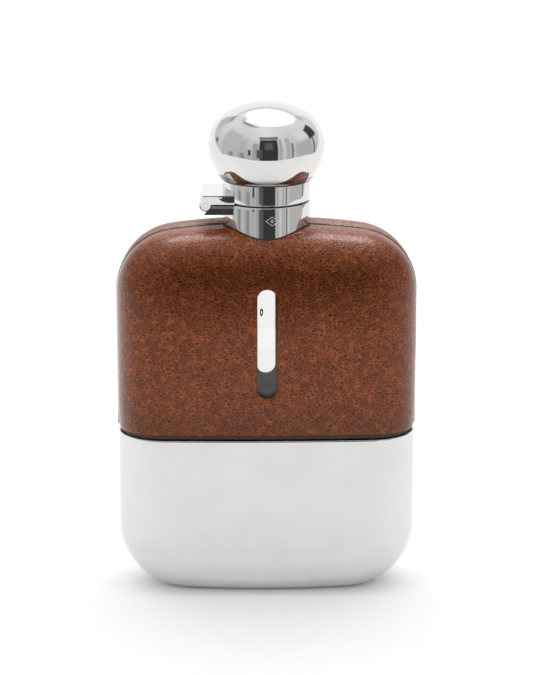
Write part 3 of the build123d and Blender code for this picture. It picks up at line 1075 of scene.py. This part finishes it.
def room_tone(azimuth, elevation):
    """Brightness of the studio by direction from the cap: azimuth 0 is towards the camera.

    Each panel is left, right, bottom and top in degrees, then its brightness and how soft its sides are.
    """
    side = np.abs(azimuth)
    tone = 0.72 + 0.0040 * np.clip(elevation, 0, 60) + 0.06 * np.sin(np.radians(azimuth * 3 + elevation * 2))
    panels = (
        (-99, -57, -20, 40, 0.66, 2),
        (-57, -40, -25, 30, 0.60, 6),
        (-150, -128, 18, 42, 0.66, 4),
        (24, 31, -25, 34, 0.50, 3),
        (38, 48, -25, 34, 0.56, 3),
        (60, 99, -25, 16, 0.58, 4),
        (66, 96, 20, 44, 0.95, 8),
        (-28, -17, -25, 22, 0.46, 3),
        (50, 54, -20, 18, 0.20, 1.5),
        (-37, -32, -12, 2, 0.05, 1.2),
        (-17, 26, 34, 42, 0.24, 1.5),
        (-15, 22, -26, 33, 0.050, 1.2),
        (-20, -9, -18, 4, 0.12, 2),
        (-78, -72, -40, -8, 0.40, 1.5),
        (-66, -61, -40, -8, 0.86, 2),
        (-53, -46, -40, -8, 0.42, 2),
        (-43, -40, -40, -8, 0.80, 1.5),
        (-4, 12, 4, 24, 0.14, 4),
        (98, 122, 13, 36, 0.07, 2),
        (104, 109, -14, 13, 0.22, 1.5),
        (-122, -112, 2, 9, 0.25, 2),
    )
    for left, right, bottom, top, level, soft in panels:
        share = patch(azimuth, elevation, left, right, bottom, top, soft)
        tone = tone * (1 - share) + level * share
    tone = tone * (1 - 0.20 * patch(azimuth, elevation, -84, -30, -40, -7, 4))
    backdrop = np.maximum(
        smooth(-azimuth - np.minimum(1.5 * (elevation + 13), 50), 98, 104),
        smooth(azimuth - np.minimum(0.9 * (elevation + 13), 38), 108, 116),
    )
    tone = tone * (1 - backdrop) + PAPER_GLOW * backdrop
    tone = tone - 0.30 * patch(side, elevation, 132, 181, 38, 43, 3)
    low_left = 14 * np.minimum(side / 140, 1) ** 1.8 + 17 * smooth(side, 138, 165)
    low_right = 29 * np.minimum(side / 140, 1) ** 1.8 + 2 * smooth(side, 138, 165)
    ceiling = 76 - np.where(azimuth < 0, low_left, low_right)
    lip = smooth(elevation, ceiling - 10, ceiling - 2) * smooth(-azimuth, 20, 70)
    lip = lip * (1 - smooth(-azimuth, 115, 150))
    tone = tone * (1 - 0.62 * lip)
    lit = smooth(elevation, ceiling - 1.5, ceiling + 1.5)
    tone = tone * (1 - lit) + CEILING_GLOW * lit
    lamp, lamp_frame = lamp_share(azimuth, elevation)
    return tone * (1 - 0.55 * lamp_frame) + LAMP_GLOW * lamp


def room_card():
    """The whole studio as metal sees it, from the floor in front of the paper up to the ceiling light."""
    columns = 360
    rows = 240
    azimuth = np.linspace(-180, 180, columns, endpoint=False)
    edge = -23 + 8 * smooth(np.abs(azimuth), 10, 90) + 9 * smooth(np.abs(azimuth), 95, 150)
    verts = []
    tones = []
    for share in np.linspace(0, 1, rows):
        elevation = edge + (90 - edge) * share
        a = np.radians(azimuth)
        e = np.radians(elevation)
        to_floor = (ROOM_EYE - 0.002) / np.maximum(-np.sin(e), 1e-6)
        length = np.where(elevation < 0, np.minimum(ROOM_REACH, to_floor), ROOM_REACH)
        x = length * np.sin(a) * np.cos(e)
        y = -length * np.cos(a) * np.cos(e)
        verts.append(np.column_stack([x, y, ROOM_EYE + length * np.sin(e)]))
        tones.append(room_tone(azimuth, elevation))
    verts = np.vstack(verts)
    tones = np.concatenate(tones)
    material = emission_material("room_glow", "tone")
    card = stage_mesh("room_card", verts.tolist(), grid_faces(rows, columns, True), material)
    paint = card.data.color_attributes.new("tone", "FLOAT_COLOR", "POINT")
    paint.data.foreach_set("color", np.column_stack([tones, tones, tones, np.ones(len(tones))]).ravel())
    only_reflected(card)
    return card


def area_light(name, place, target, width, height, power):
    data = bpy.data.lights.new(name, "AREA")
    data.shape = "RECTANGLE"
    data.size = width
    data.size_y = height
    data.energy = power
    lamp = bpy.data.objects.new(name, data)
    bpy.context.scene.collection.objects.link(lamp)
    lamp.location = place
    direction = [t - p for t, p in zip(target, place)]
    lamp.rotation_euler = Vector(direction).to_track_quat("-Z", "Y").to_euler()
    return lamp


floor_piece()
room_card()
softbox = area_light("softbox_overhead", (0.0, 0.22, 0.95), (0.0, 0.10, 0.0), 1.05, 0.8, 3.0)
softbox.visible_glossy = False

world = bpy.data.worlds.new("studio")
world.use_nodes = True
background = world.node_tree.nodes["Background"]
background.inputs["Color"].default_value = (1, 1, 1, 1)
background.inputs["Strength"].default_value = 1.03
bpy.context.scene.world = world
view = bpy.context.scene.view_settings
view.view_transform = "Standard"
view.look = "None"
view.exposure = 0.0
view.gamma = 1.0


def camera():
    data = bpy.data.cameras.new("camera")
    data.lens = CAMERA_LENS
    data.sensor_width = 36.0
    data.sensor_fit = "AUTO"
    data.clip_start = 0.01
    data.clip_end = 50.0
    eye = bpy.data.objects.new("camera", data)
    turn = math.radians(CAMERA_TURN)
    eye.location = (-CAMERA_REACH * math.sin(turn), -CAMERA_REACH * math.cos(turn), CAMERA_HEIGHT)
    eye.rotation_euler = (math.radians(90 - CAMERA_DOWN), 0, -turn)
    bpy.context.scene.collection.objects.link(eye)
    bpy.context.scene.camera = eye


camera()
